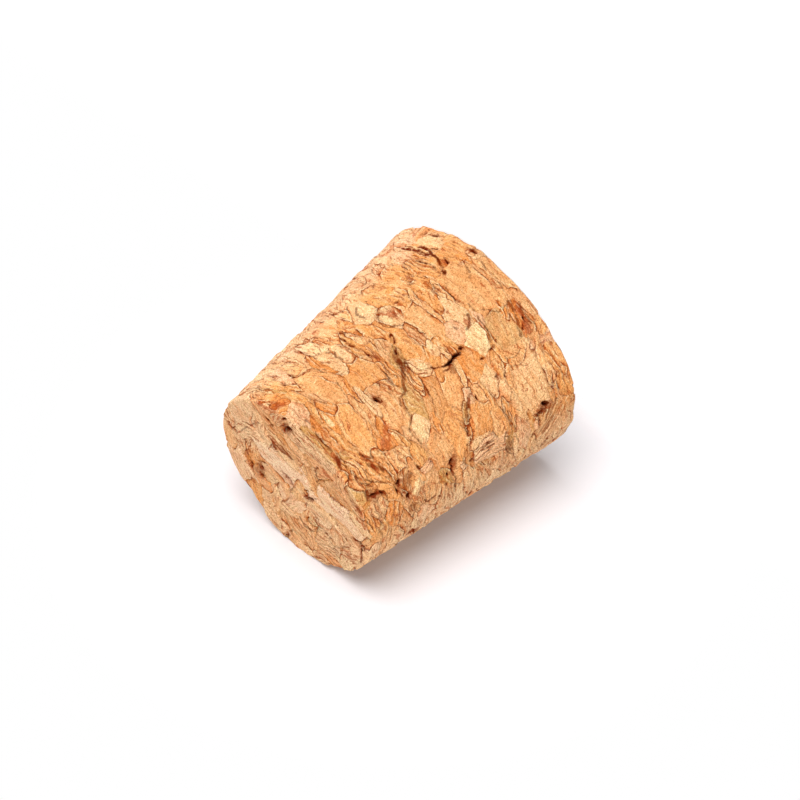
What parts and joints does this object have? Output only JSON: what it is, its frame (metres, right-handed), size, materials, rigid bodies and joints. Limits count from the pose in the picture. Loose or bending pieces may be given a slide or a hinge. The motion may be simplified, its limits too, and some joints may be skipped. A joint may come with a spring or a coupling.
{
  "type": "cork stopper",
  "caption": "Tapered round stopper of agglomerated cork, moulded from bonded granules, with flat ends, crisp rims and small open crevices.",
  "frame": {"origin": "centre of the wide end's face, on which the stopper stands", "axes": "+Z along the axis from the wide end to the narrow end, -Y towards the front of the side, +X to the right of it"},
  "size_m": [0.025, 0.025, 0.025],
  "materials": {
    "cork": "matt ground cork, mottled pale peach, honey and rust granules"
  },
  "bodies": {
    "root": {"cork_stopper": "cork"}
  },
  "joints": []
}
